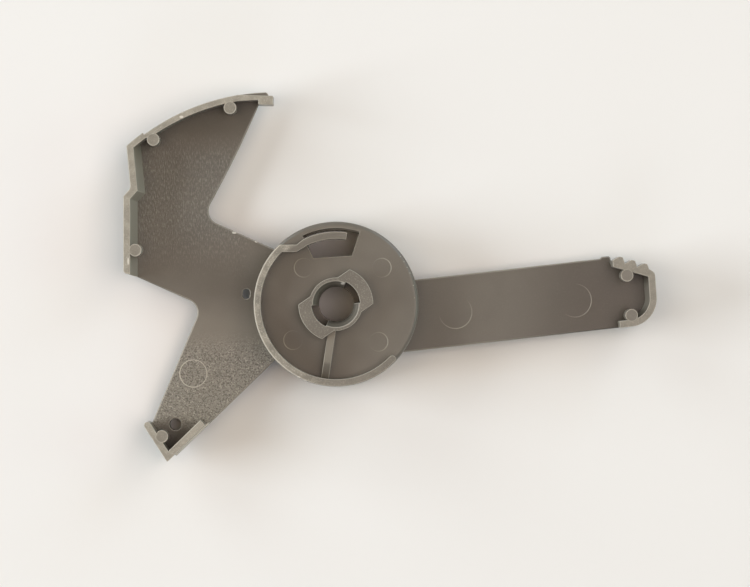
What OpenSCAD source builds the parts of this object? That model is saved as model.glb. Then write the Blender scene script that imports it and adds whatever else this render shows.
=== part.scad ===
// Dispenser lever, moulded in one piece: a hollow pivot hub, a long arm with a
// toothed end, a hooked arm and a short arm. The hub's axis is Z and its foot
// stands at z = 0. The long arm points to +X, and the hooked arm to -X and +Y.

/* [Hub] */
// Outside diameter of the drum and of the disc that closes it
hub_d = 40.4; // [38:0.2:44]
// Thickness of the drum's side wall
drum_t = 2; // [1.4:0.1:3]
// Height of the disc's upper face above the foot
disc_z = 14.5; // [12:0.5:18]
// Thickness of the disc
disc_t = 2; // [1.4:0.1:3]
// Rounding of the disc's bare edge
disc_round = 1; // [0.3:0.1:1.3]
// Height of the rim above the disc
rim_h = 4.5; // [3:0.5:7]
// Thickness of the rim
rim_t = 1.7; // [1.2:0.1:2.5]
// How far the rim's outer face stands in from the drum's
rim_in = 0.2; // [0.1:0.05:0.5]
// Direction in which the rim ends
rim_to = 316; // [270:1:330]

/* [Bore and lugs] */
// Diameter of the pivot bore
bore_d = 8.6; // [7:0.1:9.6]
// Outside diameter of the boss around the bore
boss_d = 13; // [12.8:0.1:15]
// Diameter of the bore's flared mouth
mouth_d = 11.3; // [10:0.1:11.8]
// Depth of the flare
mouth_h = 3; // [1:0.5:4]
// Diameter across the pockets behind the lugs
pocket_d = 11.8; // [11.4:0.1:12.4]
// Height of the boss above the disc
boss_h = 4.8; // [4:0.2:7]
// Height of the boss's lower end above the foot
boss_lift = 0; // [0:0.5:3]
// Diameter across the two locking lugs
lug_d = 18.3; // [16:0.5:22]
// Thickness of a lug
lug_t = 2.4; // [1.5:0.1:3]
// Direction of the first lug's middle, the second lies opposite
lug_dir = 34.5; // [20:0.5:50]
// Half of the angle that a lug spans at its outer edge
lug_half = 34; // [20:1:45]
// Half of the angle that a lug spans at the boss
lug_root_half = 52; // [50:1:60]
// Half of the angle of the pocket behind a lug
pocket_half = 31; // [20:1:40]
// Height of the pockets' floor above the foot
pocket_z = 8; // [4:0.5:11]

/* [Rib] */
// Thickness of the rib between the boss and the rim
rib_t = 1.9; // [1:0.1:3]
// Direction of the rib
rib_dir = 261.6; // [255:0.2:268]
// Height of the rib above the disc
rib_h = 3.6; // [2:0.2:4]
// Height of the rib above the disc where it meets the rim
rib_low_h = 1.6; // [0.5:0.2:2]
// Distance from the hub's axis at which the rib begins to slope
rib_slope_r = 14.4; // [11:0.2:16]

/* [Spring finger and window] */
// Thickness of the spring finger
finger_t = 1.8; // [1:0.1:2]
// Radius of the finger's middle line over the window
finger_r = 16.8; // [16:0.1:17]
// Direction of the finger's free end
finger_to = 81; // [76:1:95]
// Distance of the finger's straight root from the hub's centre line
finger_root_y = 13.6; // [13:0.1:14]
// Distance from the hub's axis at which the straight root ends
finger_bend_x = 9.6; // [8.5:0.1:11]
// Direction of the window's right side
window_from = 72; // [66:1:76]
// Direction of the window's left side, where the finger comes free
window_to = 116; // [112:1:118]
// Radius of the window's outer edge
window_r = 18.6; // [18:0.1:19]
// Distance of the window's straight inner edge from the hub's axis
window_in = 11.6; // [10:0.1:12.5]

/* [Arms] */
// Height of the arms' floor above the foot
floor_z = 6.5; // [4:0.5:9]
// Thickness of the arms' floor
floor_t = 2; // [1.4:0.1:3]
// Height of the walls at the arms' ends above the floor
wall_h = 8.2; // [5:0.2:10]
// Thickness of those walls at the top
wall_t = 1.7; // [1.2:0.1:2.2]
// Diameter of the ejector posts beside the walls
post_d = 3.1; // [2.6:0.1:4]

/* [Long arm] */
// Direction of the long arm
long_dir = 6.5; // [0:0.5:12]
// Length from the hub's axis to the arm's end
long_len = 78.15; // [72:0.05:100]
// Width of the long arm
long_w = 17.4; // [16:0.2:19]
// How far the arm's middle line passes below the hub's axis
long_drop = 4.95; // [3:0.05:6]
// Length of the end that has walls
grip_len = 9.75; // [9:0.05:11]
// Radius of the end's large corner
grip_round = 6.9; // [4:0.1:8]
// Radius of the end's small corner
grip_small_round = 1.5; // [0.5:0.1:1.6]
// Bend between the toothed side and the small corner
end_bevel = 14; // [8:1:18]
// Slant of the end face
grip_slant = 2.5; // [0:0.5:6]
// Slope of the toothed side
grip_slope = 21.9; // [18:0.1:24]
// How far the toothed side begins inside the arm's edge
grip_in = 0.9; // [0.5:0.1:1.5]
// Thickness of the toothed wall, not counting the teeth
grip_back_t = 1.4; // [1:0.1:1.8]
// Number of grip teeth
tooth_n = 3; // [2:1:3]
// Spacing of the teeth
tooth_pitch = 3.1; // [2.6:0.1:3.1]
// Height of a tooth
tooth_h = 1.5; // [0.8:0.1:1.8]
// Length over which the front of a tooth rises
tooth_rise = 1.3; // [0.8:0.1:1.5]
// Length of the steep back of a tooth
tooth_fall = 0.9; // [0.5:0.1:1]
// Height of the step between two teeth
tooth_step = 0.2; // [0.1:0.1:0.4]
// Rounding of a tooth's front
tooth_round = 0.7; // [0.5:0.1:0.8]
// How far inside the last tooth the end's corner begins
tooth_rest = 0.4; // [0.3:0.1:0.6]
// How far the end's corner stands out from the line on which the teeth stand
end_rise = 0.5; // [0.3:0.1:0.5]
// Length of the low bump on the floor's edge before the teeth
bump_len = 2.6; // [1.5:0.1:4]
// Height of that bump
bump_h = 0.4; // [0.2:0.1:0.8]
// Distance from the end wall's outer face to the posts' axes
grip_post_in = 6.6; // [6:0.1:7.5]
// How far the end wall grows thicker down to the floor
grip_foot = 0.7; // [0.2:0.1:1]

/* [Hooked arm] */
// Radius of the curved outer wall
arc_r = 53.9; // [53:0.1:56]
// Distance of the curved wall's centre to the left of the hub's axis
arc_x = 15.1; // [14:0.1:16]
// Distance of the curved wall's centre below the hub's axis
arc_y = 2; // [1:0.1:3]
// Thickness of the curved wall
arc_t = 1.5; // [1.1:0.1:2]
// How far the curved wall stands out near its corner
arc_step = 0.55; // [0.2:0.05:1]
// Direction, from the curved wall's centre, in which that stretch begins
arc_step_dir = 126.2; // [124:0.2:128]
// Direction, from the curved wall's centre, of the wall's end at the tip
tip_dir = 91.6; // [90:0.2:94]
// Direction, from the curved wall's centre, of the floor's end at the tip
tip_floor_dir = 92.9; // [91:0.1:95]
// Direction, from the curved wall's centre, in which the flat near the tip begins
flat_dir = 99.5; // [97:0.5:104]
// Depth of the flat at the tip
flat_in = 0.9; // [0.4:0.1:1.3]
// Thickness of the wall behind the flat at the tip
flat_t = 0.9; // [0.8:0.05:1.4]
// Rounding of the curved wall's outer corner at the tip
tip_round = 0.8; // [0.3:0.1:1]
// How far the ledge outside the flat lies below the wall's top
flat_drop = 1.2; // [0.4:0.1:3]
// Length of the pad at the tip
pad_len = 3.6; // [2:0.1:5]
// Width of the pad
pad_w = 2.2; // [1.5:0.1:2.6]
// How far the pad stands out past the wall's end
pad_out = 1.2; // [0.3:0.1:2]
// Distance of the straight side wall to the left of the hub's axis
side_x = 52; // [50.5:0.1:53]
// Distance of the side wall's lower end above the hub's axis
side_low_y = 7.7; // [7:0.1:8.5]
// Width of the slanting cut at that end
side_cut = 3; // [2:0.1:4]
// Distance of the step in the side wall above the hub's axis
side_step_y = 26.4; // [22:0.1:28]
// How far the side wall steps in above that
side_step = 1.75; // [0.5:0.05:2.2]
// Height over which the step happens
side_step_h = 1.9; // [1.2:0.1:3]
// Radius of the bend above the step
side_round = 2; // [1:0.1:2.5]
// Lean of the side wall above the step
side_lean = 5.5; // [4:0.5:9]
// How much thicker the side wall is at the floor than at the top
side_foot = 1.4; // [0.5:0.1:2]
// Rounding of the side wall's lower corner
side_low_round = 0.8; // [0.3:0.1:1.5]
// Direction, from the curved wall's centre, of the post near the corner
corner_post_dir = 125; // [118:0.5:128]
// Distance of that post's axis inside the curved wall's inner face
corner_post_in = 0.8; // [0.4:0.1:1.3]
// Direction, from the curved wall's centre, of the post near the tip
tip_post_dir = 102.2; // [101:0.1:108]
// Distance of that post's axis inside the curved wall's inner face
tip_post_in = 1.2; // [0.6:0.1:1.3]
// Distance of the side wall's post above the wall's lower end
side_post_y = 5.5; // [4:0.1:9]
// Distance of that post's axis inside the side wall's inner face
side_post_in = 1.2; // [0.6:0.1:1.3]
// Distance of the hook's throat to the left of the hub's axis
throat_x = 32.8; // [30:0.1:35]
// Distance of the throat above the hub's axis
throat_y = 21.4; // [20:0.1:24]
// How far the hook's inner edge bulges between the throat and the tip
throat_bulge = 0.6; // [0.2:0.1:1]
// Radius of that bulge
bulge_r = 220; // [150:10:300]
// Radius of the throat and of the crotch between the two left arms
throat_round = 3.4; // [2:0.1:5]
// Slope of the neck that joins the left arms to the hub
neck_slope = 24.1; // [20:0.1:28]

/* [Short arm] */
// Distance of the crotch to the left of the hub's axis
crotch_x = 33.2; // [31:0.1:35]
// Distance of the crotch below the hub's axis
crotch_y = 0.4; // [-1:0.1:3]
// Direction of the arm's left edge
short_dir = 67.1; // [65:0.1:69]
// Direction of the arm's right edge
short_edge_dir = 44.2; // [43:0.1:46]
// Distance of the arm's left corner to the left of the hub's axis
heel_x = 46.8; // [46:0.1:48]
// Distance of the left corner below the hub's axis
heel_y = 30.1; // [29:0.1:32]
// Distance of the arm's pointed corner to the left of the hub's axis
toe_x = 41.3; // [40:0.1:43]
// Distance of the pointed corner below the hub's axis
toe_y = 38.6; // [36:0.1:41]
// Length of the wall along the arm's right edge
toe_wall_len = 13; // [9:0.5:15]
// Distance from the left corner to the short arm's post, along the end wall
heel_post_along = 4.2; // [3:0.1:7]
// Distance of that post's axis inside the end wall's inner face
heel_post_in = 0.6; // [0.2:0.1:1.3]
// How far the wall along the right edge stands in from the floor's edge
toe_ledge = 0.5; // [0.2:0.1:1]
// Distance from the pointed corner at which that ledge begins
toe_ledge_from = 2.2; // [1:0.1:4]
// Diameter of the hole in the short arm
hole_d = 3; // [2:0.1:3.6]
// Outside diameter of the hollow peg under the hole
peg_d = 5; // [4.6:0.1:6]
// Height of the peg's lower end above the foot
peg_z = 0.2; // [0:0.1:3]
// Distance from the end wall's outer face to the hole's axis
hole_in = 6.3; // [5.5:0.1:8]
// Distance from the left corner to the hole's axis, along the end wall
hole_along = 3.5; // [2.5:0.1:4.5]

/* [Slot] */
// Width of the small slot beside the hub
slot_w = 1.8; // [1:0.1:2]
// Length of the slot
slot_len = 2.5; // [2.1:0.1:4]
// Gap between the drum and the slot
slot_gap = 1.2; // [0.6:0.1:3]
// Direction of the slot from the hub's axis
slot_dir = 173.6; // [165:0.2:180]

/* [Hidden] */
plastic = [0.55, 0.53, 0.49];
$fn = 96;
eps = 0.01;
sink = 0.5; // how deep a feature is set into what carries it
foot_in = 0.1; // how deep the upper end of a wall's slope lies inside the wall
tuck = 3; // angle by which one piece of an arc reaches into the next
reach = 200; // longer than any part of the lever

hub_r = hub_d / 2;
rim_top = disc_z + rim_h;
boss_top = disc_z + boss_h;
wall_top = floor_z + wall_h;
arm_root_r = hub_r - drum_t / 2;
arc_centre = [-arc_x, -arc_y];

// A point at a distance and a direction from the hub's axis
function polar(r, a) = [r * cos(a), r * sin(a)];

// The direction from one point to another
function heading(p, q) = atan2(q.y - p.y, q.x - p.x);

// Where the line through p along direction a meets the line through q along direction b
function crossing(p, a, q, b) =
    p + polar(((q.x - p.x) * sin(b) - (q.y - p.y) * cos(b)) / sin(b - a), a);

// Twice the area of the triangle at a corner: positive where an anticlockwise outline is convex
function bend(p, q, r) = (q.x - p.x) * (r.y - q.y) - (q.y - p.y) * (r.x - q.x);

// The region between a sharp corner and the arc that rounds it
module corner_sliver(before, corner, after, r) {
    to_before = heading(corner, before);
    to_after = heading(corner, after);
    middle = heading([0, 0], polar(1, to_before) + polar(1, to_after));
    half = acos(cos(to_before - middle));
    centre = corner + polar(r / sin(half), middle);
    difference() {
        polygon([
            corner - polar(eps, middle),
            corner + polar(r / tan(half), to_before),
            centre,
            corner + polar(r / tan(half), to_after)
        ]);
        translate(centre) circle(r);
    }
}

// An anticlockwise outline whose corners are rounded by the radii listed with them
module plan(points, radii) {
    n = len(points);
    difference() {
        union() {
            polygon(points);
            for (i = [0:n - 1])
                if (radii[i] > 0 && bend(points[(i + n - 1) % n], points[i], points[(i + 1) % n]) < 0)
                    corner_sliver(points[(i + n - 1) % n], points[i], points[(i + 1) % n], radii[i]);
        }
        for (i = [0:n - 1])
            if (radii[i] > 0 && bend(points[(i + n - 1) % n], points[i], points[(i + 1) % n]) > 0)
                corner_sliver(points[(i + n - 1) % n], points[i], points[(i + 1) % n], radii[i]);
    }
}

// The part of the plane between two directions that are less than 120 degrees apart
module wedge(from, to) {
    polygon([[0, 0], polar(reach, from), polar(reach, (from + to) / 2), polar(reach, to)]);
}

// A flat layer of the 2D children from one height to another
module layer(low, high) {
    translate([0, 0, low]) linear_extrude(high - low) children();
}

// Section of the slope that thickens a wall down to the floor, with the wall's inner face at x = 0
module foot_section(foot) {
    low = floor_z - sink;
    high = wall_top - sink;
    polygon([[-sink, low], [foot, low], [foot, floor_z], [-foot_in, high], [-sink, high]]);
}

// That slope beside a straight wall whose inner face runs from p to q, the slope on the left of that line
module foot_run(p, q, foot) {
    translate([p.x, p.y, 0])
        rotate([0, 0, heading(p, q)])
            rotate([90, 0, 90])
                linear_extrude(norm(q - p))
                    foot_section(foot);
}

// A post beside an end wall, flush with its top
module post(at) {
    translate(at) layer(floor_z - sink, wall_top) circle(d = post_d);
}

// Hub: the drum, the disc that closes it and the parts that stand on the disc

module drum_section() {
    difference() {
        square([hub_r, disc_z]);
        translate([-eps, -eps]) square([hub_r - drum_t + eps, disc_z - disc_t + eps]);
        translate([hub_r - disc_round, disc_z - disc_round])
            difference() {
                square(disc_round + eps);
                circle(disc_round);
            }
    }
}

module window() {
    half = (window_to - window_from) / 2;
    corner_r = window_in / cos(half);
    intersection() {
        circle(window_r);
        polygon([
            polar(corner_r, window_from),
            polar(reach, window_from),
            polar(reach, window_from + half),
            polar(reach, window_to),
            polar(corner_r, window_to)
        ]);
    }
}

module drum() {
    difference() {
        rotate_extrude() drum_section();
        layer(disc_z - disc_t - sink, disc_z + sink) window();
    }
}

// The rim begins inside the finger's straight root and has a round end
module rim() {
    rim_r = hub_r - rim_in;
    root_out = asin((finger_root_y + finger_t / 2) / rim_r);
    root_in = asin((finger_root_y - finger_t / 2) / (rim_r - rim_t));
    rim_from = 180 - (root_out + root_in) / 2;
    halfway = (rim_from + rim_to) / 2;
    layer(disc_z - disc_round - sink, rim_top) {
        intersection() {
            difference() {
                circle(rim_r);
                circle(rim_r - rim_t);
            }
            union() {
                wedge(rim_from, halfway + tuck);
                wedge(halfway, rim_to);
            }
        }
        translate(polar(rim_r - rim_t / 2, rim_to)) circle(d = rim_t);
    }
}

module finger() {
    half_t = finger_t / 2;
    layer(disc_z - disc_t, rim_top)
        intersection() {
            difference() {
                circle(finger_r + half_t);
                circle(finger_r - half_t);
            }
            wedge(finger_to, window_to);
        }
    layer(disc_z - sink, rim_top)
        intersection() {
            circle(hub_r - rim_in);
            polygon([
                polar(finger_r - half_t, window_to),
                polar(finger_r, window_to - tuck),
                polar(finger_r + half_t, window_to),
                [-finger_bend_x, finger_root_y + half_t],
                [-hub_r, finger_root_y + half_t],
                [-hub_r, finger_root_y - half_t],
                [-finger_bend_x, finger_root_y - half_t]
            ]);
        }
}

// A lug round +X, wider at the boss than at its outer edge
module lug() {
    root = polar(boss_d / 2, lug_root_half);
    flank_dir = heading(root, polar(lug_d / 2, lug_half));
    inner = root - polar(sink, flank_dir);
    outer = crossing(root, flank_dir, [lug_d / 2 + sink, 0], 90);
    intersection() {
        circle(d = lug_d);
        polygon([[0, 0], [inner.x, -inner.y], [outer.x, -outer.y], outer, inner]);
    }
}

module boss() {
    rotate([0, 0, lug_dir]) {
        layer(boss_lift, boss_top - lug_t) circle(d = boss_d);
        layer(boss_top - lug_t, boss_top) {
            rotate([0, 0, 90]) circle(d = boss_d);
            for (turn = [0, 180])
                rotate([0, 0, turn]) lug();
        }
    }
}

module bore() {
    over = mouth_h + sink;
    layer(-sink, boss_top + sink) circle(d = bore_d);
    translate([0, 0, boss_top - mouth_h])
        cylinder(d1 = bore_d, d2 = bore_d + (mouth_d - bore_d) * over / mouth_h, h = over);
    for (turn = [0, 180])
        rotate([0, 0, lug_dir + turn])
            layer(pocket_z, boss_top + sink)
                intersection() {
                    circle(d = pocket_d);
                    wedge(-pocket_half, pocket_half);
                }
}

module rib() {
    inner_r = boss_d / 2 - sink;
    outer_r = hub_r - rim_in - rim_t + sink;
    rotate([0, 0, rib_dir])
        translate([0, rib_t / 2, 0])
            rotate([90, 0, 0])
                linear_extrude(rib_t)
                    polygon([
                        [inner_r, disc_z - sink],
                        [outer_r, disc_z - sink],
                        [outer_r, disc_z + rib_low_h],
                        [rib_slope_r, disc_z + rib_h],
                        [inner_r, disc_z + rib_h]
                    ]);
}

// Long arm, drawn along +X and turned to its direction

long_top = long_w / 2 - long_drop;
long_low = -long_w / 2 - long_drop;
grip_from = long_len - grip_len;
grip_start = [grip_from, long_top - grip_in];
grip_back = grip_start - polar(grip_back_t, 90 - grip_slope);
tooth_low = grip_start + polar(tooth_n * tooth_pitch - tooth_rest, -grip_slope);
tooth_end = tooth_low + polar(end_rise, 90 - grip_slope);
end_face = [long_len, long_low + grip_round];
end_dir = 90 - grip_slant;
end_top = crossing(tooth_end, -grip_slope - end_bevel, end_face, end_dir);

// One saw tooth, standing on the line from its start to its pitch
module tooth() {
    plan(
        [
            [0, -sink],
            [tooth_pitch, -sink],
            [tooth_pitch, tooth_step],
            [tooth_pitch - tooth_fall, tooth_h],
            [tooth_rise, tooth_h],
            [0, tooth_step]
        ],
        [0, 0, 0, tooth_round / 2, tooth_round, 0]
    );
}

module long_plan() {
    plan(
        [
            [0, long_low],
            crossing([0, long_low], 0, end_face, end_dir),
            end_top,
            tooth_end,
            tooth_low,
            grip_start,
            [grip_from, long_top],
            [grip_from - bump_h, long_top + bump_h],
            [grip_from - bump_len + bump_h, long_top + bump_h],
            [grip_from - bump_len, long_top],
            [0, long_top]
        ],
        [0, grip_round, grip_small_round, 0, 0, 0, 0, 0, 0, 0, 0]
    );
    translate(grip_start)
        rotate([0, 0, -grip_slope])
            for (i = [0:tooth_n - 1])
                translate([i * tooth_pitch, 0]) tooth();
}

// The space that the end's walls enclose, larger all round by a margin
module pocket_plan(margin) {
    inner = end_face - [wall_t - margin, 0];
    low = [grip_from, long_low + wall_t - margin];
    back = grip_back + polar(margin, 90 - grip_slope);
    plan(
        [
            low,
            crossing(low, 0, inner, end_dir),
            crossing(back, -grip_slope, inner, end_dir),
            crossing(back, -grip_slope, low, 90)
        ],
        [0, grip_round - wall_t + margin, 0, 0]
    );
}

// The arm's floor, set into the end's walls
module long_floor() {
    layer(floor_z - floor_t, floor_z) {
        intersection() {
            long_plan();
            translate([grip_from + sink - reach, -reach / 2]) square(reach);
        }
        pocket_plan(sink);
    }
}

// The walls that stand round the end: its outline less the space they enclose
module grip_walls() {
    layer(floor_z - floor_t, wall_top)
        difference() {
            intersection() {
                long_plan();
                translate([grip_from, -reach / 2]) square(reach);
            }
            translate([-sink, 0]) pocket_plan(0);
            pocket_plan(0);
        }
}

module grip_slope_foot() {
    centre = crossing([0, long_low + grip_round], 0, end_face - polar(grip_round, -grip_slant), end_dir);
    start = centre + polar(grip_round - wall_t, -grip_slant);
    foot_run(
        start - polar(sink, end_dir),
        crossing(start, end_dir, grip_back, -grip_slope) + polar(sink, end_dir),
        grip_foot
    );
    translate(centre)
        rotate([0, 0, -90])
            rotate_extrude(angle = end_dir)
                translate([grip_round - wall_t, 0]) mirror([1, 0]) foot_section(grip_foot);
}

module long_arm() {
    post_x = long_len - grip_post_in;
    post_gap = post_d / 2 - sink;
    rotate([0, 0, long_dir]) {
        long_floor();
        grip_walls();
        grip_slope_foot();
        post([post_x, long_low + wall_t + post_gap]);
        post(crossing(grip_back - polar(post_gap, 90 - grip_slope), -grip_slope, [post_x, 0], 90));
    }
}

// Left arms: one floor, the hooked arm's walls and the short arm's walls

side_low = [-side_x, side_low_y];
step_low = [-side_x, side_step_y];
step_high = step_low + [side_step, side_step_h];
corner = crossing(step_high, 90 + side_lean, [0, arc_r], 0);
throat = [-throat_x, throat_y];
crotch = [-crotch_x, -crotch_y];
heel = [-heel_x, -heel_y];
toe = [-toe_x, -toe_y];
heel_dir = heading(heel, toe);
heel_in = polar(1, heel_dir + 90);
edge_at = toe + polar(toe_ledge, short_edge_dir - 90);
flat_from = arc_centre + polar(arc_r, flat_dir);
flat_to = arc_centre + polar(arc_r - flat_in, tip_dir);
flat_run = heading(flat_from, flat_to);

// The disc bounded by the curved wall, less anything given for its stretch near the corner
module arc_disc(inset) {
    translate(arc_centre) {
        circle(arc_r - inset);
        intersection() {
            circle(arc_r + arc_step - inset);
            wedge(arc_step_dir, arc_step_dir + 90);
        }
    }
}

module hook_plan() {
    tip_floor = arc_centre + polar(arc_r, tip_floor_dir);
    hook_dir = heading(throat, tip_floor);
    intersection() {
        plan(
            [
                crossing(throat, -neck_slope, [0, 0], 90 - neck_slope),
                throat,
                (throat + tip_floor) / 2 + polar(throat_bulge, hook_dir - 90),
                tip_floor,
                tip_floor + polar(arc_r / 2, hook_dir),
                corner,
                step_high,
                step_low,
                side_low,
                crossing(crotch, 180 - neck_slope, side_low + [side_cut, 0], 90),
                crotch,
                crotch + polar(arc_r / 4, short_dir - 180),
                [0, 0]
            ],
            [0, throat_round, bulge_r, 0, 0, 0, side_round, 0, side_low_round, 0, throat_round, 0, 0]
        );
        arc_disc(0);
    }
}

module short_plan() {
    difference() {
        plan(
            [
                crotch,
                crossing(crotch, short_dir, heel + wall_t / 2 * heel_in, heel_dir),
                heel + wall_t / 2 * heel_in,
                heel,
                crossing(heel, heel_dir, edge_at, short_edge_dir),
                crossing(edge_at, short_edge_dir, [0, 0], short_edge_dir + 90),
                [-hub_r / 2, 0]
            ],
            [0, 0, 0, 0, 0, 0, 0]
        );
        translate(toe)
            rotate([0, 0, short_edge_dir])
                translate([-reach / 2, -reach])
                    square([reach / 2 + toe_ledge_from, reach]);
    }
    translate(heel + wall_t / 2 * heel_in) circle(d = wall_t);
}

// The side wall's line at a distance inside its outer face: from above the bend to below its lower end
lean_dir = side_lean - 90;
step_dir = heading(step_high, step_low);
function side_line(d) = [
    step_high + polar(d, lean_dir + 90) - polar(arc_r / 2, lean_dir),
    crossing(step_high + polar(d, lean_dir + 90), lean_dir, step_high + polar(d, step_dir + 90), step_dir),
    crossing(step_low + polar(d, step_dir + 90), step_dir, step_low + [d, 0], 90),
    side_low + [d, -side_cut]
];

// The curved wall's end, which reaches past the floor, and grows thinner along its flat
module tip_plan() {
    tip = arc_centre + polar(arc_r, tip_dir);
    thick = arc_centre + polar(arc_r - arc_t, flat_dir);
    thin = flat_to + polar(flat_t, flat_run - 90);
    difference() {
        intersection() {
            arc_disc(0);
            translate(arc_centre) wedge(tip_dir, flat_dir + tuck);
            translate(thick)
                rotate([0, 0, heading(thick, thin)])
                    translate([-pad_len, 0]) square(arc_r);
        }
        corner_sliver(tip + polar(1, tip_dir + 90), tip, tip - polar(1, tip_dir), tip_round);
    }
}

module pad_plan() {
    translate(flat_from)
        rotate([0, 0, flat_run])
            translate([norm(flat_to - flat_from) + pad_out - pad_len, -pad_w]) square([pad_len, pad_w]);
}

module hook_walls() {
    line = side_line(-sink);
    inner = side_line(wall_t);
    difference() {
        layer(floor_z - sink, wall_top) {
            tip_plan();
            pad_plan();
            intersection() {
                hook_plan();
                union() {
                    polygon([line[0], line[1], line[2], line[3], inner[3], inner[2], inner[1], inner[0]]);
                    difference() {
                        translate(arc_centre) wedge(flat_dir, flat_dir + 60);
                        arc_disc(arc_t);
                    }
                }
            }
        }
        layer(wall_top - flat_drop, wall_top + sink)
            translate(flat_from) rotate([0, 0, flat_run]) square(arc_r);
    }
}

// The side wall's slope, each run cut off along the lines where it meets the next
module side_slope() {
    inner = side_line(wall_t);
    deep = side_line(wall_t + side_foot + sink);
    intersection() {
        union() {
            for (i = [0:2])
                intersection() {
                    foot_run(
                        inner[i] - polar(side_foot, heading(inner[i], inner[i + 1])),
                        inner[i + 1] + polar(side_foot, heading(inner[i], inner[i + 1])),
                        side_foot
                    );
                    layer(0, rim_top)
                        polygon([
                            2 * inner[i] - deep[i],
                            2 * inner[i + 1] - deep[i + 1],
                            deep[i + 1],
                            deep[i]
                        ]);
                }
        }
        layer(0, rim_top)
            intersection() {
                hook_plan();
                arc_disc(arc_t / 2);
            }
    }
}

module end_walls() {
    layer(floor_z - sink, wall_top) {
        intersection() {
            short_plan();
            translate(heel)
                rotate([0, 0, heel_dir])
                    translate([-wall_t, -sink]) square([norm(toe - heel) + wall_t, wall_t + sink]);
        }
        translate(toe)
            rotate([0, 0, short_edge_dir])
                intersection() {
                    square([toe_wall_len, wall_t]);
                    rotate([0, 0, heel_dir - short_edge_dir]) translate([-reach, 0]) square(reach);
                }
    }
}

module slot() {
    translate(polar(hub_r + slot_gap + slot_w / 2, slot_dir))
        rotate([0, 0, slot_dir]) {
            square([slot_w, slot_len - slot_w], center = true);
            for (side = [-1, 1])
                translate([0, side * (slot_len - slot_w) / 2]) circle(d = slot_w);
        }
}

module left_arms() {
    hole_at = heel + hole_along * polar(1, heel_dir) + hole_in * heel_in;
    difference() {
        union() {
            layer(floor_z - floor_t, floor_z) {
                hook_plan();
                short_plan();
                tip_plan();
                pad_plan();
            }
            layer(peg_z, floor_z - floor_t + sink) translate(hole_at) circle(d = peg_d);
        }
        layer(floor_z - floor_t - sink, floor_z + sink) slot();
        layer(peg_z - sink, floor_z + sink) translate(hole_at) circle(d = hole_d);
    }
    hook_walls();
    side_slope();
    end_walls();
    post(arc_centre + polar(arc_r - arc_t - corner_post_in, corner_post_dir));
    post(arc_centre + polar(arc_r - arc_t - tip_post_in, tip_post_dir));
    post([-side_x + wall_t + side_post_in, side_low_y + side_post_y]);
    post(heel + heel_post_along * polar(1, heel_dir) + (wall_t + heel_post_in) * heel_in);
}

module arms() {
    difference() {
        union() {
            long_arm();
            left_arms();
        }
        layer(-sink, rim_top) circle(arm_root_r);
    }
}

module lever() {
    color(plastic)
        difference() {
            union() {
                drum();
                rim();
                finger();
                boss();
                rib();
                arms();
            }
            bore();
        }
}

lever();
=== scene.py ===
"""Dispenser lever: the moulding with rounded edges, ejector marks and grained plastic, under soft studio light."""
import math

import bmesh
import bpy
import numpy as np
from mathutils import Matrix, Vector


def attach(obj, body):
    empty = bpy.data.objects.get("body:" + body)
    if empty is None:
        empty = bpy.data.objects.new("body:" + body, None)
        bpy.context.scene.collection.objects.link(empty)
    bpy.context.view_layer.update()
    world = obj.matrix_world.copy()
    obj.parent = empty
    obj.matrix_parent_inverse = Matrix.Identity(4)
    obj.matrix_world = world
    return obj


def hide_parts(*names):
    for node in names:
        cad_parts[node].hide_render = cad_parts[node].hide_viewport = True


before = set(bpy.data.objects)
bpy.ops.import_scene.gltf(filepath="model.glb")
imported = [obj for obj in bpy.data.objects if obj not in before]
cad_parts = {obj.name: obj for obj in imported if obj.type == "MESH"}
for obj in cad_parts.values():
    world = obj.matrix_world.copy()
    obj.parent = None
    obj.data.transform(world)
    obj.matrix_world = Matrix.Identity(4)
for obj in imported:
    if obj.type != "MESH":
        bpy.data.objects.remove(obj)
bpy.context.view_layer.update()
MM = 0.001

# ---------------------------------------------------------------- camera
CAMERA_AT = (9.545 * MM, 2.605 * MM, 1100 * MM)
VIEW_WIDTH = 185.85 * MM
SENSOR = 36.0
camera_data = bpy.data.cameras.new("camera")
camera_data.sensor_width = SENSOR
camera_data.lens = SENSOR * CAMERA_AT[2] / VIEW_WIDTH
camera_data.clip_start = 0.05
camera_data.clip_end = 20.0
camera = bpy.data.objects.new("camera", camera_data)
camera.location = CAMERA_AT
bpy.context.scene.collection.objects.link(camera)
bpy.context.scene.camera = camera


# ---------------------------------------------------------------- shader kit
class Sock:
    """A node socket on which Python's operators add the Math nodes that they stand for."""

    def __init__(self, kit, socket):
        self.kit, self.socket = kit, socket

    def _math(self, operation, a, b=None):
        values = {0: a} if b is None else {0: a, 1: b}
        return self.kit.node("ShaderNodeMath", {"operation": operation}, values)

    def __add__(self, other):
        return self._math("ADD", self, other)

    def __radd__(self, other):
        return self._math("ADD", other, self)

    def __sub__(self, other):
        return self._math("SUBTRACT", self, other)

    def __rsub__(self, other):
        return self._math("SUBTRACT", other, self)

    def __mul__(self, other):
        return self._math("MULTIPLY", self, other)

    def __rmul__(self, other):
        return self._math("MULTIPLY", other, self)

    def __truediv__(self, other):
        return self._math("DIVIDE", self, other)

    def __pow__(self, other):
        return self._math("POWER", self, other)

    def smooth(self, low, high, to_low=0.0, to_high=1.0):
        """A smooth step from to_low at the value low to to_high at the value high."""
        settings = {"interpolation_type": "SMOOTHSTEP"}
        values = {"Value": self, "From Min": low, "From Max": high, "To Min": to_low, "To Max": to_high}
        return self.kit.node("ShaderNodeMapRange", settings, values)


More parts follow.
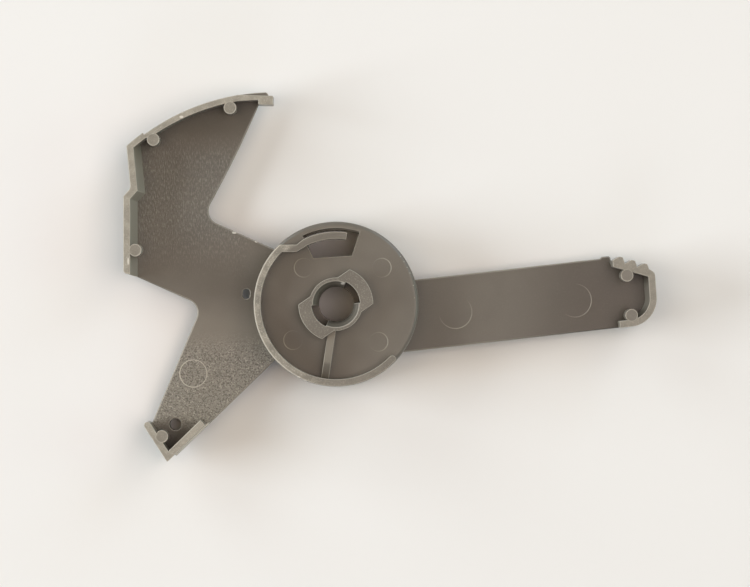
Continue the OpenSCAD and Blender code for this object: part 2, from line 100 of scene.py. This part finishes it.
class Kit:
    """The nodes of one material."""

    def __init__(self, name):
        self.material = bpy.data.materials.new(name)
        self.material.use_nodes = True
        self.tree = self.material.node_tree
        self.tree.nodes.clear()
        self.output = self.tree.nodes.new("ShaderNodeOutputMaterial")

    def node(self, kind, settings=None, values=None, out=0):
        """Adds a node of a kind with its settings, then the values or links of its inputs, and returns one output."""
        made = self.tree.nodes.new(kind)
        for key, value in (settings or {}).items():
            setattr(made, key, value)
        for key, value in (values or {}).items():
            if isinstance(value, Sock):
                self.tree.links.new(value.socket, made.inputs[key])
            else:
                made.inputs[key].default_value = value
        return Sock(self, made.outputs[out])

    def split(self, vector):
        """The three components of a vector."""
        made = self.node("ShaderNodeSeparateXYZ", {}, {0: vector})
        return [Sock(self, s) for s in made.socket.node.outputs]

    def noise(self, vector, scale, detail=3.0, roughness=0.55):
        """Fractal noise with a number of cells in a metre."""
        values = {"Vector": vector, "Scale": scale, "Detail": detail, "Roughness": roughness}
        return self.node("ShaderNodeTexNoise", {}, values)

    def mix(self, factor, a, b):
        """Colour b over colour a by a factor."""
        return self.node("ShaderNodeMix", {"data_type": "RGBA"}, {0: factor, 6: a, 7: b}, 2)

    def finish(self, values):
        """Ends the material in a Principled shader with the values given."""
        shader = self.node("ShaderNodeBsdfPrincipled", {}, values)
        self.tree.links.new(shader.socket, self.output.inputs["Surface"])
        return self.material


# ---------------------------------------------------------------- plastic
# Heights and radii of the moulding, as part.scad has them.
FLOOR_TOP = 6.5 * MM
DISC_TOP = 14.5 * MM
WALL_TOP = 14.7 * MM
HUB_RADIUS = 20.2 * MM
BASE_DARK = (0.112, 0.099, 0.079, 1.0)
BASE_LIGHT = (0.132, 0.117, 0.094, 1.0)
# Paler colour of the frosted tops and the grain, and painted light on the walls' sides and the tops' left.
PALE_AND_LIT = (0.30, 0.27, 0.215, 1.0)
# Colour of worn edges and grain specks, and of painted highlights on edges, the rim and the marks' ridges.
WORN_AND_SHEEN = (0.50, 0.46, 0.38, 1.0)
# Dark colour of the grain's pits, and of painted shade on the floors, the disc and the tray.
SHADE_AND_PIT = (0.049, 0.040, 0.029, 1.0)
# Colour of painted glints on nicks and of the painted highlight on the ledge outside the toe wall.
PAINTED_GLINT = (0.66, 0.62, 0.53, 1.0)
TRAY = (-40.2 * MM, -34.3 * MM)
TOE = (-41.3 * MM, -38.6 * MM)
TOE_WALL = 13 * MM
TOE_DIR = math.radians(44.2)
# Small nicks with painted glints, bright spots on tops and edges: the middle's x and y, and half the length along x
# and along y, in millimetres.
NICK_GLINTS = [(-37.8, 45.8, 0.5, 0.3), (-50.8, 10.5, 0.2, 0.9), (-25.1, 17.6, 0.6, 0.3), (-19.7, 15.4, 0.4, 0.25),
         (1.7, 5.05, 0.5, 0.3), (-9.3, -17.75, 0.7, 0.22), (-7.6, -18.6, 0.5, 0.22)]


def lever_plastic():
    """Warm grey satin plastic.

    The short arm carries the pitted grain of a spark-eroded mould, and the hook's floor faint streaks. The walls,
    their tops and the rim's top are paler and finely frosted; this paleness is partly painted light, lightest on the
    left where the light falls and on the walls' sides. All outer edges are lighter, partly from wear and partly as a
    painted highlight, the rim's outer edge on the left carries a painted highlight, and a few small nicks carry
    painted glints. The arms' floor carries painted shade towards the hook's tip, the neck, the short arm's tray and
    both ends of the long arm, the disc carries painted shade inside the rim low on the left, and the ledge outside
    the toe wall is the palest place, a painted highlight.
    """
    kit = Kit("lever_plastic")
    coordinates = kit.node("ShaderNodeTexCoord", out=3)
    x, y, z = kit.split(coordinates)
    edge = kit.node("ShaderNodeAttribute", {"attribute_name": "edge"}, out=2)
    side = kit.node("ShaderNodeAttribute", {"attribute_name": "side"}, out=2)
    pressed = kit.node("ShaderNodeAttribute", {"attribute_name": "pressed"}, out=2)
    cloud = kit.noise(coordinates, 70.0, 2.0)
    blotch = kit.noise(coordinates, 420.0, 2.0, 0.5)
    grain = kit.noise(coordinates, 3300.0, 3.0, 0.6)
    fine = kit.noise(coordinates, 6500.0, 2.0, 0.6)
    coarse = kit.noise(coordinates, 2500.0, 3.0, 0.7)
    drawn = kit.node("ShaderNodeMapping", {}, {"Vector": coordinates, "Scale": (3600.0, 900.0, 2000.0)})
    streak = kit.noise(drawn, 1.0, 3.0, 0.6)
    # Where each finish, painted light and painted shade lies: 1 on it and 0 elsewhere, from the place on the lever in
    # metres.
    from_axis = (x * x + y * y) ** 0.5
    outside = from_axis.smooth(HUB_RADIUS + 0.05 * MM, HUB_RADIUS + 0.2 * MM)
    left = x.smooth(-0.019, -0.0245)
    beside = outside * x.smooth(-0.006, -0.012)
    floor_level = z.smooth(FLOOR_TOP + 0.7 * MM, FLOOR_TOP + 0.3 * MM)
    floor_level = floor_level * z.smooth(FLOOR_TOP - 0.5 * MM, FLOOR_TOP - 0.2 * MM) * (1.0 - side)
    # Painted light: the walls' sides are made paler, more on the left and most on the left wall's inner slope, where
    # the light falls.
    walls = outside * side * x.smooth(0.0, -0.020, 0.7, 1.1) * x.smooth(-0.044, -0.047, 1.0, 2.3)
    # The tops are frosted and paler; on the left they are painted lighter still, as painted light, and pressed marks
    # there keep more of the paleness.
    wall_tops = outside * z.smooth(WALL_TOP - 0.7 * MM, WALL_TOP - 0.1 * MM) * x.smooth(0.0, -0.020, 0.5, 1.0)
    wall_tops = wall_tops * (1.0 - pressed * (0.9 - 0.35 * left))
    highest = z.smooth(0.0186, 0.0189)
    rim_top = highest * from_axis.smooth(0.0170, 0.0182)
    # The rim's top is painted lighter on the left, where the light falls, and darker on the right.
    tops = wall_tops + rim_top * x.smooth(0.006, -0.016, 0.3, 1.35)
    lug_tops = highest * from_axis.smooth(0.0105, 0.0100)
    painted_rim_highlight = z.smooth(0.0180, 0.0188) * from_axis.smooth(0.01955, 0.01985) * x.smooth(-0.004, -0.014)
    well = z.smooth(DISC_TOP + 0.5 * MM, DISC_TOP + 0.1 * MM) * z.smooth(DISC_TOP - 0.1 * MM, DISC_TOP - 0.05 * MM)
    well = well * from_axis.smooth(0.0190, 0.0184)
    rib_top = z.smooth(0.0174, 0.0178) * z.smooth(0.0184, 0.0182) * from_axis.smooth(0.0150, 0.0140)
    rib_top = rib_top * (1.0 - side)
    from_tray = ((x - TRAY[0]) ** 2 + (y - TRAY[1]) ** 2) ** 0.5
    tray = floor_level * from_tray.smooth(0.0080, 0.0025)
    past_toe = (x - TOE[0]) * math.sin(TOE_DIR) - (y - TOE[1]) * math.cos(TOE_DIR)
    along_toe = (x - TOE[0]) * math.cos(TOE_DIR) + (y - TOE[1]) * math.sin(TOE_DIR)
    ledge = past_toe.smooth(-0.1 * MM, 0.1 * MM) * along_toe.smooth(TOE_WALL + 1.0 * MM, TOE_WALL)
    ledge = ledge * z.smooth(FLOOR_TOP + 0.7 * MM, FLOOR_TOP + 0.3 * MM)
    ledge = ledge * z.smooth(FLOOR_TOP - 0.9 * MM, FLOOR_TOP - 0.5 * MM) * y.smooth(-0.024, -0.026) * (1.0 - side)
    eroded = beside * floor_level * y.smooth(-0.006, -0.013) * (1.0 - tray * 0.6)
    short_root = beside * floor_level * y.smooth(0.003, -0.006)
    faint = left * floor_level * y.smooth(0.004, 0.021) * y.smooth(0.044, 0.034)
    neck = left * floor_level * y.smooth(-0.006, 0.006) * y.smooth(0.022, 0.008) * x.smooth(-0.044, -0.028)
    smooth_floor = floor_level * outside * (1.0 - eroded)
    root = x.smooth(0.034, 0.024) * x.smooth(0.005, 0.015)
    # The colours, each laid over the one before.
    base = kit.mix(cloud.smooth(0.35, 0.65), BASE_DARK, BASE_LIGHT)
    # Painted shade: the smooth floors darker towards the hook's tip, the long arm's far end, the neck and the long
    # arm's root beside the hub, and the disc inside the rim low on the left.
    painted_shade = 0.22 + 0.44 * y.smooth(0.030, 0.046) + 0.60 * x.smooth(0.036, 0.062) + 0.34 * neck + 0.20 * root
    painted_shade = smooth_floor * painted_shade * (1.0 - short_root) + well * (x + y).smooth(-0.010, -0.019) * 0.30
    base = kit.mix(painted_shade, base, SHADE_AND_PIT)
    mottled = tops * blotch.smooth(0.35, 0.65, 0.22, 0.55)
    # Paleness of the frosted tops, the grain and the rib's top, with painted light on the walls' sides and on the
    # tops' left.
    pale_and_lit = walls * 0.40 + wall_tops * 0.36 + mottled + short_root * 0.16 + eroded * 0.32 + rib_top * 0.32
    base = kit.mix(pale_and_lit, base, PALE_AND_LIT)
    speck = grain.smooth(0.52, 0.68) * (0.02 + 0.52 * eroded + 0.36 * tops + 0.20 * lug_tops)
    base = kit.mix(speck + streak.smooth(0.47, 0.66) * faint * 0.20, base, WORN_AND_SHEEN)
    pit = coarse.smooth(0.52, 0.40) * (eroded * 0.70 + faint * 0.3)
    base = kit.mix(pit, base, SHADE_AND_PIT)
    # Painted shade in the short arm's tray, between its walls.
    base = kit.mix(tray * 0.90, base, SHADE_AND_PIT)
    # Painted highlight along the rim's outer edge on the left.
    base = kit.mix(painted_rim_highlight * 0.7, base, WORN_AND_SHEEN)
    # Rounded edges are lighter: partly wear and partly a painted highlight, also on the marks' ridges and the floor's
    # outline.
    base = kit.mix(edge * 0.65, base, WORN_AND_SHEEN)
    # Painted highlight on the ledge outside the toe wall.
    base = kit.mix(ledge * 0.95, base, PAINTED_GLINT)
    # Painted glints on the nicks sit on tops and rounded edges, and don't run down the walls' sides.
    glint_places = z.smooth(FLOOR_TOP - 0.5 * MM, FLOOR_TOP - 0.1 * MM) * side.smooth(0.85, 0.60)
    for glint_x, glint_y, half_x, half_y in NICK_GLINTS:
        away = (((x - glint_x * MM) / (half_x * MM)) ** 2 + ((y - glint_y * MM) / (half_y * MM)) ** 2) ** 0.5
        base = kit.mix(away.smooth(1.15, 0.75) * glint_places * 0.75, base, PAINTED_GLINT)
    rough = 0.30 + 0.20 * eroded + 0.16 * tops + 0.06 * cloud + 0.04 * faint + 0.08 * lug_tops + 0.30 * edge
    height = grain * (0.20 + 1.6 * eroded + 0.4 * faint + 0.8 * tops) + coarse * (5.0 * eroded + 0.5 * faint)
    height = height + streak * faint * 6.0 + fine * 0.2
    bump = kit.node("ShaderNodeBump", {}, {"Strength": 0.6, "Distance": 0.00006, "Height": height})
    return kit.finish({"Base Color": base, "Roughness": rough, "Normal": bump, "IOR": 1.5,
                       "Specular IOR Level": 0.5})


# ---------------------------------------------------------------- the moulding
EDGE_ROUND = 0.2 * MM
FLOOR_ROUND = 0.4 * MM
EDGE_ANGLE = math.radians(28)
OUTLINE_ANGLE = math.radians(60)
SHARP_ANGLE = math.radians(40)
NARROW_HOLES = np.array([[-39.609, -29.616], [-22.16, 2.49]]) * MM


def link(name, mesh, material):
    """An object of a mesh, riding on the lever's one body."""
    mesh.materials.clear()
    mesh.materials.append(material)
    mesh.shade_smooth()
    piece = bpy.data.objects.new(name, mesh)
    bpy.context.scene.collection.objects.link(piece)
    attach(piece, "root")
    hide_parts("lever")
    return piece


def outer_edges(work, angle):
    """The edges whose two faces turn outwards by more than an angle."""
    return [e for e in work.edges if len(e.link_faces) == 2 and e.calc_face_angle_signed(0) > angle]


def on_floor_outline(edge):
    """True for an outer edge that bounds the arms' floor from above, and not for the rims of the small holes."""
    ends = np.array([v.co for v in edge.verts])
    near = np.linalg.norm(NARROW_HOLES - ends[:, :2].mean(axis=0), axis=1).min() < 2.8 * MM
    return np.abs(ends[:, 2] - FLOOR_TOP).max() < 0.01 * MM and not near


def round_off(work, edges, width, segments):
    """Replaces edges by round strips that reach a width into both faces, and returns the strips' faces."""
    made = bmesh.ops.bevel(work, geom=edges, offset=width, offset_type="OFFSET", segments=segments, profile=0.5,
                           affect="EDGES", clamp_overlap=False)
    work.normal_update()
    return made["faces"]


def moulding(material):
    """The lever's own mesh with its outer edges rounded.

    Vertices at one place are merged and coplanar triangles joined. The floor's outline gets a round of FLOOR_ROUND,
    every other edge that turns outwards by more than EDGE_ANGLE one of EDGE_ROUND. The attribute "edge" is 1 on the
    narrow strips and 0.5 on the wide ones, and the attribute "side" is 1 less the upward share of a face's normal,
    and 0 inside the small holes.
    """
    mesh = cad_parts["lever"].data.copy()
    mesh.name = "lever_moulding"
    work = bmesh.new()
    work.from_mesh(mesh)
    on_edge = work.verts.layers.float.new("edge")
    on_side = work.faces.layers.float.new("side")
    bmesh.ops.remove_doubles(work, verts=work.verts, dist=0.000002)
    bmesh.ops.dissolve_limit(work, angle_limit=math.radians(0.6), verts=work.verts, edges=work.edges)
    bmesh.ops.dissolve_degenerate(work, dist=0.02 * MM, edges=work.edges)
    work.normal_update()
    outline = [e for e in outer_edges(work, OUTLINE_ANGLE) if on_floor_outline(e)]
    wide = set(round_off(work, outline, FLOOR_ROUND, 3))
    others = [e for e in outer_edges(work, EDGE_ANGLE) if not wide & set(e.link_faces)]
    strip = set(round_off(work, others, EDGE_ROUND, 2))
    for vertex in work.verts:
        within = 0.02 * FLOOR_ROUND < FLOOR_TOP - vertex.co.z < 0.98 * FLOOR_ROUND
        vertex[on_edge] = 1.0 if all(face in strip for face in vertex.link_faces) else 0.5 * within
    for face in work.faces:
        from_holes = np.linalg.norm(NARROW_HOLES - np.array(face.calc_center_median())[:2], axis=1).min()
        face[on_side] = (1.0 - abs(face.normal.z)) * (from_holes > 1.9 * MM)
    for edge in work.edges:
        if len(edge.link_faces) == 2 and abs(edge.calc_face_angle_signed(0)) > SHARP_ANGLE:
            edge.smooth = False
    work.to_mesh(mesh)
    work.free()
    piece = link("lever_moulding", mesh, material)
    normals = piece.modifiers.new("flat faces stay flat", "WEIGHTED_NORMAL")
    normals.mode = "FACE_AREA"
    normals.keep_sharp = True
    return piece


# ---------------------------------------------------------------- ejector marks
LONG_DIR = math.radians(6.5)


def on_long_arm(along, across):
    """A point given along and across the long arm, in millimetres."""
    return (along * math.cos(LONG_DIR) - across * math.sin(LONG_DIR),
            along * math.sin(LONG_DIR) + across * math.cos(LONG_DIR))


# Each mark's centre in millimetres and the direction in which its ridge is highest, in degrees.
DISC_MARKS = [((-7.9, 8.9), 190), ((11.2, 8.9), 20), ((-10.5, -8.8), 200), ((10.4, -9.2), 0)]
LONG_ARM_MARKS = [(on_long_arm(28.94, -5.26), -60), (on_long_arm(58.53, -5.78), -20)]
POST_MARKS = [((-44.697, 40.268), -60), ((-25.920, 48.044), -60), ((-49.100, 13.200), -60),
              ((-42.587, -32.377), -60), ((72.324, -2.730), 120), ((71.210, 7.050), 240)]


def ejector_mark(name, material, centre, radius, z, bright, half=0.14, height=0.07, least=0.15, sheen=0.6,
                 pressed=False):
    """A low ridge that runs round a circle, where an ejector pin met the moulding.

    A point of the ridge at the angle t and the share u of its half width, from -1 to 1, lies at
    radius + u * half from the centre and at z + high * (1 - u squared) - 0.01, where high is the ridge's height times
    least + (1 - least) * ((1 + cos(t - bright)) / 2) squared: it is highest in the direction bright. The attribute
    "edge" is sheen times the share of the full height: a painted highlight, lightest where the ridge is highest.
    A pressed mark has a flat inside too, 0.01 above z, on which
    the attribute "pressed" is 1. Lengths are in millimetres and bright is in degrees.
    """
    turns, across = 96, 7
    t = np.linspace(0, 2 * np.pi, turns, endpoint=False)[:, None]
    u = np.linspace(-1, 1, across)[None, :]
    high = height * (least + (1 - least) * ((1 + np.cos(t - math.radians(bright))) / 2) ** 2)
    r, rise = radius + u * half + 0 * t, high * (1 - u ** 2) - 0.01
    shine, flat = high / height * sheen + 0 * u, 0 * r
    if pressed:
        inside = np.array([[0.001, 0.5, 1.0]]) * (radius - half) + 0 * t
        r, rise = np.hstack([inside, r[:, 1:]]), np.hstack([0 * inside + 0.01, rise[:, 1:]])
        shine, flat = np.hstack([0 * inside, shine[:, 1:]]), np.hstack([0 * inside + 1, flat[:, 1:]])
    grid = np.stack([centre[0] + r * np.cos(t), centre[1] + r * np.sin(t), z + rise], axis=-1)
    index = np.arange(r.size).reshape(r.shape)
    following = np.roll(index, -1, axis=0)
    faces = np.stack([index[:, :-1], index[:, 1:], following[:, 1:], following[:, :-1]], axis=-1).reshape(-1, 4)
    mesh = bpy.data.meshes.new(name)
    mesh.from_pydata((grid.reshape(-1, 3) * MM).tolist(), [], faces.tolist())
    for kind, values in (("edge", shine), ("pressed", flat)):
        mesh.attributes.new(kind, "FLOAT", "POINT").data.foreach_set("value", values.astype(np.float32).ravel())
    return link(name, mesh, material)


plastic = lever_plastic()
moulding(plastic)
for number, (place, bright) in enumerate(DISC_MARKS):
    ejector_mark(f"disc_mark_{number + 1}", plastic, place, 2.3, DISC_TOP / MM, bright)
for number, (place, bright) in enumerate(LONG_ARM_MARKS):
    ejector_mark(f"long_arm_mark_{number + 1}", plastic, place, 4.07, FLOOR_TOP / MM, bright, least=0.03)
ejector_mark("short_arm_mark", plastic, (-35.2, -17.1), 3.35, FLOOR_TOP / MM, 180, least=0.7, sheen=1.2)
for number, (place, bright) in enumerate(POST_MARKS):
    ejector_mark(f"post_mark_{number + 1}", plastic, place, 1.42, WALL_TOP / MM, bright, half=0.12, height=0.05,
                 least=0.45, pressed=True)


# ---------------------------------------------------------------- floor and light
FLOOR_REACH = 3.0
FLOOR_DROP = 0.0005 * MM


def floor():
    """A pale matt floor that holds the lever's shadow."""
    kit = Kit("floor_paper")
    diffuse = kit.node("ShaderNodeBsdfDiffuse", {}, {"Color": (0.80, 0.79, 0.77, 1), "Roughness": 1.0})
    kit.tree.links.new(diffuse.socket, kit.output.inputs["Surface"])
    corners = np.array([[-1, -1, 0], [1, -1, 0], [1, 1, 0], [-1, 1, 0]]) * FLOOR_REACH
    mesh = bpy.data.meshes.new("floor")
    mesh.from_pydata(corners.tolist(), [], [[0, 1, 2, 3]])
    mesh.materials.append(kit.material)
    piece = bpy.data.objects.new("floor", mesh)
    piece.location.z = -FLOOR_DROP
    bpy.context.scene.collection.objects.link(piece)


LIGHT_REACH = 1.3
LIGHT_SIDE = 0.7
LIGHTS = [
    ("window", 180, 22, 16.9, (0.86, 0.93, 1.0)),
    ("window_back", 135, 22, 5.5, (0.84, 0.95, 1.0)),
    ("sky_back_right", 45, 22, 5.2, (0.56, 0.78, 1.0)),
    ("sky_right", 0, 22, 3.5, (0.68, 1.0, 0.94)),
    ("sky_front", 270, 22, 2.7, (0.76, 0.85, 1.0)),
    ("lamp_back_right", 45, 45, 2.7, (1.0, 0.81, 0.61)),
    ("ceiling_right", 0, 70, 5.4, (1.0, 0.84, 0.77)),
    ("ceiling_left", 180, 70, 3.0, (1.0, 0.78, 0.56)),
]


def softbox(name, azimuth, elevation, power, colour):
    """A square soft light that faces the hub from a direction and a height given in degrees."""
    data = bpy.data.lights.new(name, "AREA")
    data.shape = "SQUARE"
    data.size = LIGHT_SIDE
    data.energy = power
    data.color = colour
    az, el = math.radians(azimuth), math.radians(elevation)
    at = LIGHT_REACH * Vector((math.cos(az) * math.cos(el), math.sin(az) * math.cos(el), math.sin(el)))
    light = bpy.data.objects.new(name, data)
    light.location = at
    light.rotation_euler = (-at).to_track_quat("-Z", "Y").to_euler()
    light.visible_camera = False
    bpy.context.scene.collection.objects.link(light)


floor()
for light in LIGHTS:
    softbox(*light)
world = bpy.data.worlds.new("studio")
world.use_nodes = True
world.node_tree.nodes["Background"].inputs["Color"].default_value = (1.0, 1.0, 1.0, 1)
world.node_tree.nodes["Background"].inputs["Strength"].default_value = 0.15
bpy.context.scene.world = world
bpy.context.scene.view_settings.view_transform = "Standard"
